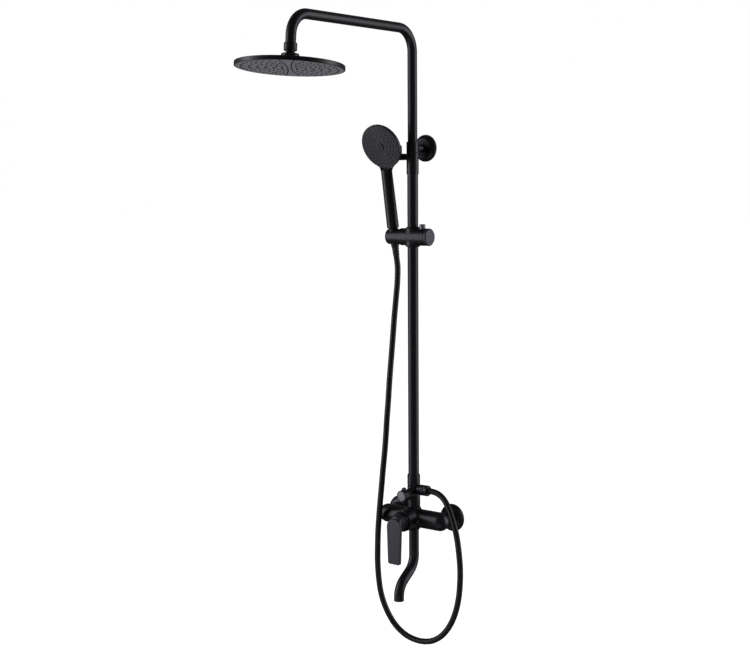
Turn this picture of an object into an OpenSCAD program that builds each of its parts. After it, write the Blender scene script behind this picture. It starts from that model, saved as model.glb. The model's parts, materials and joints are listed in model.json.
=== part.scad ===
// Rainfall shower column: bar mixer with spout, telescopic riser with overhead arm and rain head,
// slide rail with a hand shower, and the hose between them.
// Origin: on the wall, midway between the two inlets. +X right, +Y into the wall, +Z up. Millimetres.

/* [Wall and inlets] */
// Distance between the hot and cold inlets
inlet_spacing = 150; // [150:1:153]
// Distance from the wall to the riser axis
riser_out = 52; // [52:0.5:60]
// Outer radius of the G1/2 inlet thread
inlet_thread_r = 10.48; // [10.3:0.01:10.5]

/* [Mixer] */
// Outer radius of the mixer tube
mixer_r = 21.75; // [21:0.25:24]
// Radius of the cartridge housing
housing_r = 25; // [25:0.5:27]
// Width of the lever plate
lever_w = 34; // [30:1:38]
// Length of the lever plate below the mixer axis
lever_drop = 96; // [70:1:110]
// Thickness of the lever plate
lever_t = 7; // [5:0.5:9]

/* [Spout] */
// Outer radius of the spout tube
spout_r = 11.75; // [11:0.25:13]
// Height where the spout starts to bend, below the mixer axis
spout_straight = 89; // [60:1:100]
// How far the spout reaches forward
spout_reach = 60; // [50:1:60]
// Bend radius of the spout
spout_bend = 45; // [40:1:50]
// Angle of both spout bends
spout_angle = 55; // [50:1:60]

/* [Riser] */
// Outer radius of the lower riser pipe
riser_r = 12.5; // [12.5:0.5:12.5]
// Height of the lower riser pipe's top end
riser_top = 830; // [780:1:860]
// Outer radius of the upper pipe and arm
arm_r = 11; // [11:0.5:11]
// Height of the overhead arm's axis
arm_z = 1127; // [1100:1:1200]
// Distance from the riser axis to the drop end
arm_reach = 416; // [350:1:450]
// Bend radius of the arm
arm_bend = 50; // [45:1:60]
// Angle of the bend at the drop end
drop_angle = 85.5; // [84:0.5:90]

/* [Rain head] */
// Outer radius of the rain head
rain_r = 113; // [113:1:113]
// Thickness of the rain head's rim
rain_rim = 9; // [8:0.5:12]
// Direction of the plain band across the face
band_angle = 38; // [0:1:90]

/* [Slide rail carriage] */
// Height of the carriage
slider_z = 658; // [500:1:700]
// Outer radius of the carriage
slider_r = 20; // [20:0.5:22]
// Distance of the hand shower from the riser axis
hand_x = -54; // [-56:0.5:-54]
// Lean of the hand shower's handle
hand_lean = 10.35; // [5:0.05:20]

/* [Hand shower] */
// Outer radius of the hand shower's head
hand_r = 52.5; // [50:0.5:55]
// Tilt of the spray face from square to the handle
face_tilt = 13.2; // [10:0.1:20]

/* [Hose] */
// Outer radius of the hose
hose_r = 7; // [7:0.5:7]

/* [Hidden] */
$fn = 48;

// Gap between still faces, and radial gap of a running fit
gap = 0.1;
run_fit = 0.08;
// Lengthens a cutter past the face that it opens
past = 0.1;

// Inlets
union_r = 13.2;
water_r = 8;
nut_back = riser_out - 15;
rose_r = 32.5;
rose_depth = 14;

// Cartridge: seat depths along -Y from the riser axis
housing_front = 45;
pivot_out = 46;
dome_r = 22;
hub_r = 15;
skirt_r = 20;
plate_back = 73;

// Tee
tee_r = 15;
tee_bottom = 25.2;
tee_top = 75;
spigot_low = 19.2;
diverter_z = 59;
outlet_z = 68;
hose_start_x = 43;

// Length of the spout's straight outlet
spout_tip = 9;

// Telescope
sleeve_bottom = 801;
sleeve_top = 850;
ring_top = 875;
lock_z = 841;
bracket_z = 861;
collar_r = 14;
pipe_tail = 560;
// Lock stub: radius, and the near and far faces of its lever from the riser axis
lock_r = 7.5;
lock_near = 33.5;
lock_far = 38;

// Swivel ball, as distances along the drop from the end of the bend
nut_start = 16.3;
nut_end = 32;
ball_s = 44;
ball_r = 10.5;
liner_r = 11.4;
cap_start = 38;
dome_start = 53;
rim_start = 58.8;
face_s = rim_start + rain_rim;

// Carriage
button_x = 27;
holder_r = 18;
body_left = -31.5;
body_right = 42;
cone_low_r = 9.2;
cone_top_r = 11.5;
cone_low = -24;
cone_top = 20;

// Hand shower: centre of the spray face, along and in front of the handle's axis
face_up = 211;
face_out = 11.6;
grip_low = 21;
grip_top = 182;
hand_rim = 7;
back_depth = 22;
back_r = (hand_r * hand_r + (back_depth - hand_rim) * (back_depth - hand_rim)) / (2 * (back_depth - hand_rim));

// Route of the hose's centre line from the riser axis: [x, y, z]
HOSE_ROUTE = [
  [43, 0, 68], [56, 0, 68], [72, -2, 65], [88, -5, 57], [102, -8, 42], [114, -10, 20],
  [123, -10, -5], [129, -9, -32], [133, -8, -62], [135, -6, -98], [134, -5, -135], [130, -5, -172],
  [121, -5, -207], [107, -5, -238], [88, -6, -264], [65, -7, -282], [39, -9, -291], [11, -12, -291],
  [-16, -15, -283], [-40, -18, -266], [-59, -20, -243], [-73, -22, -216], [-81, -25, -186],
  [-85, -27, -151], [-86, -29, -114], [-84, -31, -76], [-81, -33, -38], [-77, -34, 0], [-73, -34, 38],
  [-70, -32, 76], [-68, -29, 114], [-66, -25, 154], [-65, -21, 194], [-64, -18, 234], [-63, -14, 274],
  [-62, -11, 314], [-61, -7, 354], [-59, -4, 394], [-58, 0, 434], [-57, 4, 474], [-56, 9, 514],
  [-55, 13, 550], [-54, 13.2, 586], [-54, 8.4, 612.5]
];
HOSE_SIDES = 10;

// ---- helpers ----

// Everything that stands on the riser's axis
module on_riser() { translate([0, -riser_out, 0]) children(); }

module bar_x(r, x0, x1) { translate([x0, 0, 0]) rotate([0, 90, 0]) cylinder(r = r, h = x1 - x0); }

module bar_y(r, y0, y1) { translate([0, y0, 0]) rotate([-90, 0, 0]) cylinder(r = r, h = y1 - y0); }

module bar_z(r, z0, z1) { translate([0, 0, z0]) cylinder(r = r, h = z1 - z0); }

module cone_z(r0, r1, z0, z1) { translate([0, 0, z0]) cylinder(r1 = r0, r2 = r1, h = z1 - z0); }

module tube_x(r, bore, x0, x1) { difference() { bar_x(r, x0, x1); bar_x(bore, x0 - past, x1 + past); } }

module tube_y(r, bore, y0, y1) { difference() { bar_y(r, y0, y1); bar_y(bore, y0 - past, y1 + past); } }

module tube_z(r, bore, z0, z1) { difference() { bar_z(r, z0, z1); bar_z(bore, z0 - past, z1 + past); } }

module at_inlets() {
  for (side = [-1, 1]) translate([side * inlet_spacing / 2, -riser_out, 0]) children();
}

// A bend that starts at the origin along +Z and turns towards -Y
module bend(bend_r, tube_r, angle) {
  translate([0, -bend_r, 0]) rotate([90, 0, 90])
    rotate_extrude(angle = angle) translate([bend_r, 0]) circle(r = tube_r);
}

// Carries on from the end of such a bend
module after_bend(bend_r, angle) {
  translate([0, bend_r * (cos(angle) - 1), bend_r * sin(angle)]) rotate([angle, 0, 0]) children();
}

// Soldered seam where a bend meets a straight length, at the origin across Z
module seam(r) { bar_z(r + 0.05, -0.5, 0.5); }

// Height of the sphere's centre whose cap passes through (edge_r, edge_h) and (hole_r, top_h)
function cap_centre(edge_r, edge_h, hole_r, top_h) =
  (hole_r * hole_r + top_h * top_h - edge_r * edge_r - edge_h * edge_h) / (2 * (top_h - edge_h));

// A thin domed wall rose around a hole, standing on the wall and facing -Y
module rose(r, depth, hole_r) {
  edge = 3;
  wall = 1.8;
  centre = cap_centre(r, edge, hole_r, depth);
  dome = sqrt(r * r + (edge - centre) * (edge - centre));
  rotate([90, 0, 0]) difference() {
    intersection() {
      bar_z(r, 0, depth);
      translate([0, 0, centre]) sphere(r = dome, $fn = 96);
    }
    intersection() {
      bar_z(r - wall, -past, depth);
      translate([0, 0, centre]) sphere(r = dome - wall, $fn = 96);
    }
    bar_z(hole_r, -past, depth + past);
  }
}

// Tube swept along a list of points, as one closed polyhedron
function unit(v) = v / norm(v);

function tangent(path, i) = unit(path[min(i + 1, len(path) - 1)] - path[max(i - 1, 0)]);

// Each ring's first direction is the one before it, turned as little as possible
function frames(path, i = 0, last = [0, 1, 0]) =
  i == len(path) ? [] :
  let (t = tangent(path, i), n = unit(last - (last * t) * t))
  concat([[n, cross(t, n)]], frames(path, i + 1, n));

function ring_points(path, r, sides) = [
  for (i = [0 : len(path) - 1]) let (f = frames(path)[i])
  for (k = [0 : sides - 1]) path[i] + r * (cos(360 * k / sides) * f[0] + sin(360 * k / sides) * f[1])
];

module swept_tube(path, r, sides) {
  last = (len(path) - 1) * sides;
  sides_faces = [
    for (i = [0 : len(path) - 2]) for (k = [0 : sides - 1])
    let (a = i * sides + k, b = i * sides + (k + 1) % sides)
    [a, b, b + sides, a + sides]
  ];
  caps = [[for (k = [sides - 1 : -1 : 0]) k], [for (k = [0 : sides - 1]) last + k]];
  polyhedron(points = ring_points(path, r, sides), faces = concat(sides_faces, caps));
}

// A compression spring that stands on z = 0
module coil_spring(coil_r, wire_r, height, turns) {
  steps = 10;
  rise = height - 2 * wire_r;
  path = [
    for (i = [0 : turns * steps])
    [coil_r * cos(360 * i / steps), coil_r * sin(360 * i / steps), wire_r + rise * i / (turns * steps)]
  ];
  swept_tube(path, wire_r, 6);
}

// Frame at the end of the arm's drop: +Z runs down along the drop
module at_drop() {
  on_riser() translate([0, 0, arm_z - arm_bend]) after_bend(arm_bend, 90)
    translate([0, 0, arm_reach - 2 * arm_bend]) after_bend(arm_bend, drop_angle) children();
}

module at_slider() { on_riser() translate([0, 0, slider_z]) children(); }

module at_hand() { at_slider() translate([hand_x, 0, 0]) rotate([hand_lean, 0, 0]) children(); }

// Frame of the spray face: +Z points out of the face
module at_hand_face() {
  at_hand() translate([0, -face_out, face_up]) rotate([90 + face_tilt, 0, 0]) children();
}

// ---- mixer ----

module mixer_body() {
  color("#141316") on_riser() difference() {
    union() {
      bar_x(mixer_r, -inlet_spacing / 2, inlet_spacing / 2);
      for (side = [-1, 1]) translate([side * inlet_spacing / 2, 0, 0]) {
        sphere(r = mixer_r);
        bar_y(10.8, 0, 26.5);
        bar_y(12.8, 24, 26.5);
      }
      bar_z(16, 0, tee_bottom - gap);
      bar_z(14.5, -27, 0);
      bar_y(housing_r, -housing_front, 0);
    }
    for (side = [-1, 1]) translate([side * inlet_spacing / 2, 0, 0]) {
      bar_y(water_r, 0, 26.5 + past);
      mirror([side > 0 ? 1 : 0, 0, 0]) bar_x(water_r, 0, inlet_spacing / 2 - 12);
    }
    bar_y(17.6, -housing_front - past, -6);
    bar_y(20.1, -housing_front - past, -36);
    bar_y(6, -7, 4);
    bar_z(5.5, -4, spigot_low);
    bar_z(12.05, spigot_low - gap, tee_bottom);
    bar_z(10 + run_fit, -27 - past, -19);
    bar_z(5, -19.5, 0);
  }
}

module unions() {
  color("#b08d4a") at_inlets() difference() {
    union() {
      bar_y(inlet_thread_r, riser_out, riser_out + 14);
      bar_y(12, riser_out - 6, riser_out);
      bar_y(union_r, riser_out - 23.5, riser_out - 6);
    }
    bar_y(7.5, riser_out - 24, riser_out + 15);
  }
}

module inlet_nuts() {
  color("#17161a") at_inlets() difference() {
    bar_y(18.5, mixer_r + gap, nut_back);
    bar_y(11, mixer_r, nut_back + past);
    bar_y(union_r + gap, 23.9, nut_back + past);
  }
}

module fibre_washers() {
  color("#7a2f28") {
    at_inlets() tube_y(12.9, 8, 26.6, riser_out - 23.6);
    on_riser() tube_z(13, 8, 82.1, 84.9);
  }
}

module roses() {
  color("#17161a") for (side = [-1, 1]) translate([side * inlet_spacing / 2, 0, 0])
    rose(rose_r, rose_depth, union_r + 0.3);
}

module cartridge() {
  color("#d8d8d0") on_riser() difference() {
    bar_y(17.5, -36, -6.2);
    bar_y(8, -36 - past, -20);
    bar_y(4, -20, -6);
  }
}

module cartridge_nut() {
  color("#c0a060") on_riser() tube_y(20, 11, -42, -36.1);
}

module cartridge_dome() {
  color("#17161a") on_riser() difference() {
    intersection() {
      union() {
        bar_y(housing_r, -49, -housing_front - gap);
        translate([0, -pivot_out, 0]) sphere(r = dome_r);
      }
      bar_y(housing_r + 1, -pivot_out - dome_r, -housing_front - gap);
    }
    translate([0, -pivot_out, 0]) sphere(r = dome_r - 2.5);
    bar_y(dome_r - 2.5, -pivot_out, -housing_front);
    bar_y(12.5, -pivot_out - dome_r - past, -pivot_out);
  }
}

module stem_carrier() {
  color("#d8d8d0") on_riser() difference() {
    bar_y(10.9, -50, -36.3);
    translate([-3.8, -51, -8.5]) cube([7.6, 13, 17]);
    translate([0, -pivot_out, 0]) bar_x(1.6, -12, 12);
  }
}

module stem_pin() {
  color("silver") on_riser() translate([0, -pivot_out, 0]) bar_x(1.5, -10, 10);
}

module cartridge_stem() {
  color("#b08d4a") on_riser() difference() {
    bar_y(3.5, -72, -39);
    translate([0, -pivot_out, 0]) bar_x(1.5 + run_fit, -4, 4);
  }
}

module mixer_lever() {
  corner = 5;
  foot_x = lever_w / 2 - corner;
  foot_z = corner - lever_drop;
  round_r = lever_w / 2 + 3;
  round_z = -9;
  run = norm([foot_x, round_z - foot_z]);
  slope = atan2(foot_x, round_z - foot_z) - asin((round_r - corner) / run);
  side = [cos(slope), sin(slope)];
  top = [0, round_z] + round_r * side;
  foot = [foot_x, foot_z] + corner * side;
  color("#232127") on_riser() difference() {
    union() {
      rotate([90, 0, 0]) cone_z(skirt_r, hub_r, 60, plate_back + 0.5);
      translate([0, 0, round_z]) bar_y(round_r, -plate_back - lever_t, -plate_back);
      translate([0, -plate_back, 0]) rotate([90, 0, 0]) linear_extrude(lever_t) polygon([
        top, foot, [foot_x, -lever_drop], [-foot_x, -lever_drop], [-foot[0], foot[1]], [-top[0], top[1]]
      ]);
      for (x = [-foot_x, foot_x]) translate([x, 0, foot_z])
        bar_y(corner, -plate_back - lever_t, -plate_back);
    }
    translate([0, -pivot_out, 0]) sphere(r = dome_r + 0.4);
    bar_y(3.6, -72.1, -50);
    translate([0, -68, 0]) bar_z(2.1, -skirt_r - 2, 0);
  }
}

module lever_screw() {
  color("silver") on_riser() translate([0, -68, 0]) bar_z(2, -10, -3.6);
}

// ---- tee, diverter and hose outlet ----

module tee_body() {
  spigot_top = 82;
  collar_x = tee_r + 0.3;
  color("#141316") on_riser() difference() {
    union() {
      bar_z(12, spigot_low, tee_bottom);
      bar_z(tee_r, tee_bottom, tee_top);
      bar_z(13, tee_top, spigot_top);
      translate([0, 0, diverter_z]) bar_y(12.5, -24, 0);
      translate([0, 0, outlet_z]) {
        bar_x(6.9, 0, collar_x);
        bar_x(11.9, collar_x, 20.5);
        bar_x(10.4, collar_x, 33);
      }
    }
    bar_z(water_r, spigot_low - past, spigot_top + past);
    translate([0, 0, diverter_z]) bar_y(9, -24 - past, 9);
    translate([0, 0, outlet_z]) {
      bar_x(5, 0, 34);
      bar_x(8.5, 18, 33 + past);
    }
  }
}

module diverter_valve() {
  color("#d8d8d0") on_riser() translate([0, 0, diverter_z]) difference() {
    bar_y(8.9, -23.9, 6);
    bar_y(4 + run_fit, -24, -6);
    bar_z(5, -9, 9);
    bar_x(3, 0, 10);
  }
}

module diverter_gland() {
  color("#17161a") on_riser() translate([0, 0, diverter_z]) tube_y(11.5, 4 + run_fit, -32, -24.1);
}

module diverter_spindle() {
  color("#b08d4a") on_riser() translate([0, 0, diverter_z]) bar_y(4, -46.9, -7);
}

module diverter_knob() {
  tab_h = 19;
  color("#1c1a1f") on_riser() translate([0, 0, diverter_z]) difference() {
    union() {
      bar_y(13.5, -49, -35);
      translate([-6, -41, 0]) cube([12, 5, tab_h - 6]);
      translate([0, 0, tab_h - 6]) bar_y(6, -41, -36);
    }
    bar_y(4.05, -47, -34);
    bar_y(11.1, -49 - past, -48);
  }
}

module diverter_face() {
  color("#8f8f94") on_riser() translate([0, 0, diverter_z]) {
    bar_y(11, -49.4, -48.05);
    translate([0, -49.4, 0]) rotate([90, 0, 0]) cone_z(11, 9.8, 0, 0.6);
  }
}

module hose_check_valve() {
  color("#d8d8d0") on_riser() translate([0, 0, outlet_z]) tube_x(8.4, 3, 18.1, 32);
}

module hose_nut() {
  color("#17161a") on_riser() translate([0, 0, outlet_z]) difference() {
    bar_x(12.5, 20.7, hose_start_x);
    bar_x(10.5, 20, 33.2);
    bar_x(4.5, 33, hose_start_x + past);
  }
}

module shower_hose() {
  color("#1d1b20") on_riser() swept_tube(HOSE_ROUTE, hose_r, HOSE_SIDES);
}

// Flexible collar between the hose and the cone nut
module hose_sleeve() {
  color("#1d1b20") at_hand() cone_z(7.6, 8.4, cone_low - 22, cone_low - 0.3);
}

// ---- spout ----

// Straight run between the spout's two bends, and the height of its outlet
function spout_run() = (spout_reach - 2 * spout_bend * (1 - cos(spout_angle))) / sin(spout_angle);

function spout_drop() =
  spout_straight + 2 * spout_bend * sin(spout_angle) + spout_run() * cos(spout_angle) + spout_tip;

module spout_path(r, top, tip) {
  bar_z(r, -spout_straight, top);
  translate([0, 0, -spout_straight]) rotate([180, 0, 180]) {
    bend(spout_bend, r, spout_angle);
    after_bend(spout_bend, spout_angle) {
      bar_z(r, 0, spout_run());
      seam(r);
      translate([0, 0, spout_run()]) rotate([0, 0, 180]) {
        seam(r);
        bend(spout_bend, r, spout_angle);
        after_bend(spout_bend, spout_angle) {
          bar_z(r, 0, tip);
          seam(r);
        }
      }
    }
  }
}

module spout() {
  color("#17161a") on_riser() difference() {
    union() {
      spout_path(spout_r, -27.3, spout_tip);
      bar_z(10, -27.4, -19.3);
    }
    spout_path(spout_r - 2, -35, spout_tip + past);
    bar_z(7, -36, -19);
    tube_z(11, 8.6, -24.5, -22);
  }
}

module spout_seals() {
  color("#303030") on_riser() tube_z(10.04, 8.65, -24.4, -22.1);
}

module aerator() {
  color("#6d6d72") on_riser() translate([0, -spout_reach, -spout_drop()]) difference() {
    bar_z(spout_r - 2.1, 0.5, 9);
    bar_z(spout_r - 3.2, 0, 3);
    for (k = [0 : 5]) rotate([0, 0, 60 * k]) translate([5.2, 0, 0]) bar_z(1.6, 2, 9 + past);
    bar_z(1.6, 2, 9 + past);
  }
}

// ---- riser and wall bracket ----

module riser_nut() {
  color("#17161a") on_riser() difference() {
    union() {
      cone_z(14.2, 15, tee_top + gap, 78);
      bar_z(15, 78, 101);
      cone_z(15, 14, 101, 103);
    }
    bar_z(13.2, tee_top, 88.6);
    bar_z(riser_r + gap, 88, 103 + past);
  }
}

module riser_pipe() {
  color("#141316") on_riser() difference() {
    union() {
      bar_z(riser_r, 85, riser_top);
      bar_z(13.1, 85, 88.5);
    }
    bar_z(riser_r - 1.1, 84, riser_top + past);
  }
}

module lock_sleeve() {
  color("#1a181d") on_riser() difference() {
    union() {
      bar_z(collar_r, sleeve_bottom, sleeve_top);
      bar_z(12.3, sleeve_top, 862);
      translate([0, 0, lock_z]) bar_x(lock_r, 0.3 - lock_near, 0);
    }
    bar_z(riser_r + gap, sleeve_bottom - past, riser_top + gap);
    bar_z(arm_r + run_fit, riser_top, 862 + past);
    translate([0, 0, lock_z]) bar_x(4 + run_fit, -lock_near, -9);
  }
}

module lock_screw() {
  color("silver") on_riser() translate([0, 0, lock_z]) bar_x(4, 1 - lock_far, -11.4);
}

module lock_lever() {
  half = 4.5;
  lever_up = 27;
  plate_t = lock_far - lock_near;
  color("#17161a") on_riser() difference() {
    union() {
      translate([0, 0, lock_z]) bar_x(lock_r, -lock_far, -lock_near);
      translate([-lock_far, -half, lock_z]) cube([plate_t, 2 * half, lever_up - half]);
      translate([0, 0, lock_z + lever_up - half]) bar_x(half, -lock_far, -lock_near);
    }
    translate([0, 0, lock_z]) bar_x(4.05, 0.9 - lock_far, 1 - lock_near);
  }
}

module bracket_ring() {
  color("#17161a") on_riser() difference() {
    union() {
      bar_z(collar_r, sleeve_top + gap, ring_top - 1);
      cone_z(collar_r, collar_r - 1, ring_top - 1, ring_top);
      translate([0, 0, bracket_z]) bar_y(9.5, 0, 18);
    }
    bar_z(12.35, sleeve_top, 862.1);
    bar_z(arm_r + 0.3, 862, ring_top + past);
    translate([0, 0, bracket_z]) bar_y(6.05, 13.2, 18 + past);
  }
}

module bracket_arm() {
  color("#17161a") on_riser() translate([0, 0, bracket_z]) {
    bar_y(6, 13.3, 18.1);
    bar_y(8.5, 18.1, riser_out - 5);
  }
}

module bracket_plate() {
  color("#9a9a9f") translate([0, 0, bracket_z]) difference() {
    union() {
      bar_y(25, -3, 0);
      bar_y(12, -9, -3);
    }
    bar_y(8.6, -10, -4.9);
    for (side = [-1, 1]) translate([side * 17, 0, 0]) bar_y(2.75, -4, past);
  }
}

module bracket_rose() {
  color("#17161a") translate([0, 0, bracket_z]) rose(31, 12, 8.8);
}

// ---- telescope and overhead arm ----

module telescope_bush() {
  color("#d8d8d0") on_riser() difference() {
    bar_z(riser_r - 1.1 - run_fit, pipe_tail - 22, pipe_tail - gap);
    bar_z(8.5, pipe_tail - 23, pipe_tail);
    for (z = [pipe_tail - 18, pipe_tail - 9]) tube_z(12, 10, z, z + 3);
  }
}

module telescope_seals() {
  color("#303030") on_riser()
    for (z = [pipe_tail - 18, pipe_tail - 9]) tube_z(riser_r - 1.1 - 0.04, 10.05, z + 0.1, z + 2.9);
}

module overhead_path(r, low, out) {
  run = arm_reach - 2 * arm_bend;
  on_riser() {
    bar_z(r, low, arm_z - arm_bend);
    translate([0, 0, arm_z - arm_bend]) {
      bend(arm_bend, r, 90);
      after_bend(arm_bend, 90) {
        bar_z(r, 0, run);
        translate([0, 0, run]) {
          bend(arm_bend, r, drop_angle);
          after_bend(arm_bend, drop_angle) {
            bar_z(r, 0, out);
            seam(r);
          }
        }
      }
    }
  }
}

module overhead_pipe() {
  color("#141316") difference() {
    overhead_path(arm_r, pipe_tail, nut_start + 10);
    overhead_path(arm_r - 1.2, pipe_tail - past, nut_start + 10 + past);
  }
}

module ball_nut() {
  color("#17161a") at_drop() difference() {
    union() {
      cone_z(13, 13.75, nut_start, nut_start + 1);
      bar_z(13.75, nut_start + 1, nut_end);
      bar_z(10, nut_end, 34.5);
      cone_z(10, 7, 34.5, 36);
      bar_z(7, 36, ball_s);
      translate([0, 0, ball_s]) sphere(r = ball_r);
    }
    bar_z(arm_r + 0.05, nut_start - past, nut_start + 10.1);
    bar_z(5, nut_start, ball_s + ball_r + past);
  }
}

module ball_liner() {
  color("#e4e2da") at_drop() difference() {
    intersection() {
      translate([0, 0, ball_s]) sphere(r = liner_r);
      bar_z(liner_r + 1, ball_s - 4, ball_s + 6);
    }
    translate([0, 0, ball_s]) sphere(r = ball_r + run_fit);
  }
}

module ball_seat() {
  color("#e4e2da") at_drop() difference() {
    bar_z(13.1, 46.8, 57.3);
    translate([0, 0, ball_s]) sphere(r = liner_r + run_fit);
    bar_z(6, 50, 58);
  }
}

// ---- rain head ----

module ball_cap() {
  color("#17161a") at_drop() difference() {
    union() {
      cone_z(17.5, 18.5, cap_start, cap_start + 1);
      bar_z(18.5, cap_start + 1, 52.6);
    }
    translate([0, 0, ball_s]) sphere(r = liner_r + run_fit);
    bar_z(9, cap_start - past, ball_s);
    bar_z(16.1, 46.7, 52.6 + past);
  }
}

// The shell's crown is a shallow spherical cap from the neck to the rim
function crown_centre() = cap_centre(rain_r, rim_start + 0.7, 20, dome_start);

function crown_r() = norm([rain_r, rim_start + 0.7 - crown_centre()]);

module rain_shell() {
  wall = 2;
  color("#141316") at_drop() difference() {
    union() {
      bar_z(16, 46.8, 60);
      intersection() {
        bar_z(rain_r, dome_start, face_s);
        translate([0, 0, crown_centre()]) sphere(r = crown_r(), $fn = 180);
      }
    }
    difference() {
      intersection() {
        bar_z(rain_r - 5, dome_start + wall, face_s);
        translate([0, 0, crown_centre()]) sphere(r = crown_r() - wall, $fn = 180);
      }
      bar_z(18, dome_start, 60.5);
    }
    bar_z(rain_r - 2.9, face_s - 1.5, face_s + past);
    bar_z(13.2, 46, 57.4);
    bar_z(6, 57, 61);
  }
}

// Nozzle places: rings about the centre, left out on the plain band
function band_half(v) = 4 + 10.5 * (v / 105) * (v / 105);

NOZZLES = [
  for (ring = [1 : 6]) for (k = [0 : 6 * ring + 1])
  let (r = 16.5 * ring, a = 360 * (k + 0.5) / (6 * ring + 2), u = r * cos(a), v = r * sin(a))
  if (abs(u) > band_half(v) + 4) [u, v]
];

module at_nozzles() { for (p = NOZZLES) translate([p[0], p[1], 0]) children(); }

// The band lies along the local Y axis, turned about the head's own axis
module at_face() { at_drop() rotate([0, 0, -band_angle]) children(); }

module rain_nozzles() {
  color("#3a3a3e") at_face() {
    bar_z(103, face_s - 3, face_s - 1.6);
    at_nozzles() bar_z(2.1, face_s - 1.7, face_s + 1.2);
  }
}

module rain_face() {
  groove = 530;
  color("#77777c") at_face() difference() {
    bar_z(rain_r - 3, face_s - 1.5, face_s);
    at_nozzles() bar_z(2.2, face_s - 2, face_s + past);
    for (side = [-1, 1]) translate([side * (groove + 4), 0, 0])
      tube_z(groove + 1.1, groove - 1.1, face_s - 0.8, face_s + past, $fn = 360);
  }
}

// ---- carriage and holder ----

module slider_body() {
  color("#17161a") at_slider() difference() {
    union() {
      bar_x(slider_r, body_left, body_right);
      bar_z(17, -20, 20);
      cone_z(17, 14.6, 20, 23);
      cone_z(14.6, 17, -23, -20);
    }
    bar_z(13.3, -24, 24);
    bar_x(8 + run_fit, body_left - past, -19);
    bar_x(4.15, 12, 36.5);
    bar_x(6, 36.3, body_right + past);
    translate([button_x, 0, 0]) {
      bar_z(7 + run_fit, 5.5, 22);
      bar_z(2.6, -8, 6);
    }
  }
}

module slider_liner() {
  color("#d8d8d0") at_slider() difference() {
    bar_z(13.2, -22.8, 22.8);
    bar_z(riser_r + run_fit, -23, 23);
    bar_x(4.15, 10, 14);
  }
}

module slider_end_cap() {
  color("#4a484d") at_slider() {
    bar_x(slider_r, body_right + gap, 47);
    translate([47, 0, 0]) rotate([0, 90, 0]) cone_z(slider_r, slider_r - 2, 0, 2);
  }
}

module slider_button() {
  color("#6f6e73") at_slider() translate([button_x, 0, 0]) {
    bar_z(2.5, -5, 12);
    bar_z(7, 12, 28.5);
    cone_z(7, 6, 28.5, 29.5);
  }
}

module button_spring() {
  color("silver") at_slider() translate([button_x, 0, 5.6]) coil_spring(4.2, 0.5, 6.3, 3);
}

module brake_shoe() {
  color("#d8d8d0") at_slider() difference() {
    bar_x(4, 12, 36);
    bar_z(12.8, -5, 5);
    translate([button_x - 4, -2.6, -5]) cube([8, 5.2, 10]);
  }
}

module brake_spring() {
  color("silver") at_slider() translate([36.1, 0, 0]) rotate([0, 90, 0]) coil_spring(3.4, 0.5, 5.8, 3);
}

module hand_holder() {
  color("#17161a") at_slider() difference() {
    union() {
      intersection() {
        bar_x(holder_r, -75, body_left - 0.5);
        translate([-46, 0, 0]) sphere(r = 28);
      }
      bar_x(8, body_left - 1, -19.5);
    }
    translate([hand_x, 0, 0]) rotate([hand_lean, 0, 0])
      cone_z(cone_low_r - 0.4, cone_top_r + 0.4, -31.5, 27.5);
  }
}

// ---- hand shower ----

module hand_cone_nut() {
  color("#141316") at_hand() difference() {
    cone_z(cone_low_r - run_fit, cone_top_r - run_fit, cone_low, cone_top);
    bar_z(5.5, cone_low - past, 8);
    bar_z(9, 7.9, cone_top + past);
  }
}

module hose_washer() {
  color("#7a2f28") at_hand() tube_z(8.8, 5.5, 8.05, 8.95);
}

module hand_handle() {
  color("#17161a") difference() {
    union() {
      at_hand() {
        bar_z(8.9, 9, grip_low);
        cone_z(13.2, 14, grip_low - 0.5, grip_low + 1.5);
        cone_z(14, 13, grip_low + 1.5, 90);
        cone_z(13, 12.5, 90, grip_top);
      }
      at_hand_face() intersection() {
        bar_z(hand_r, -back_depth, 0);
        translate([0, 0, back_r - back_depth]) sphere(r = back_r, $fn = 96);
      }
    }
    at_hand() {
      bar_z(6, 8, 150);
      translate([0, 5.5, 0]) bar_z(4.5, 146, 185);
    }
    at_hand_face() {
      bar_z(hand_r - 3, -6.9, past);
      bar_z(hand_r + 0.5, 0, 60);
    }
  }
}

HAND_NOZZLES = [
  for (ring = [1 : 4]) for (k = [0 : 6 * ring + 1])
  let (r = 8 + 8.5 * ring, a = 360 * k / (6 * ring + 2)) [r * cos(a), r * sin(a)]
];

module at_hand_nozzles() { for (p = HAND_NOZZLES) translate([p[0], p[1], 0]) children(); }

module hand_nozzles() {
  color("#3a3a3e") at_hand_face() {
    bar_z(45.8, -3.4, -2.1);
    at_hand_nozzles() bar_z(1.4, -2.2, 0.9);
  }
}

module hand_face() {
  color("#55545a") at_hand_face() difference() {
    bar_z(hand_r - 3.2, -6, 0);
    bar_z(hand_r - 6.2, -6 - past, -2);
    at_hand_nozzles() bar_z(1.5, -3, past);
  }
}

module hand_hub() {
  color("#17161a") at_hand_face() {
    bar_z(9, 0.05, 1);
    cone_z(9, 8, 1, 1.8);
  }
}

// ---- output ----

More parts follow.
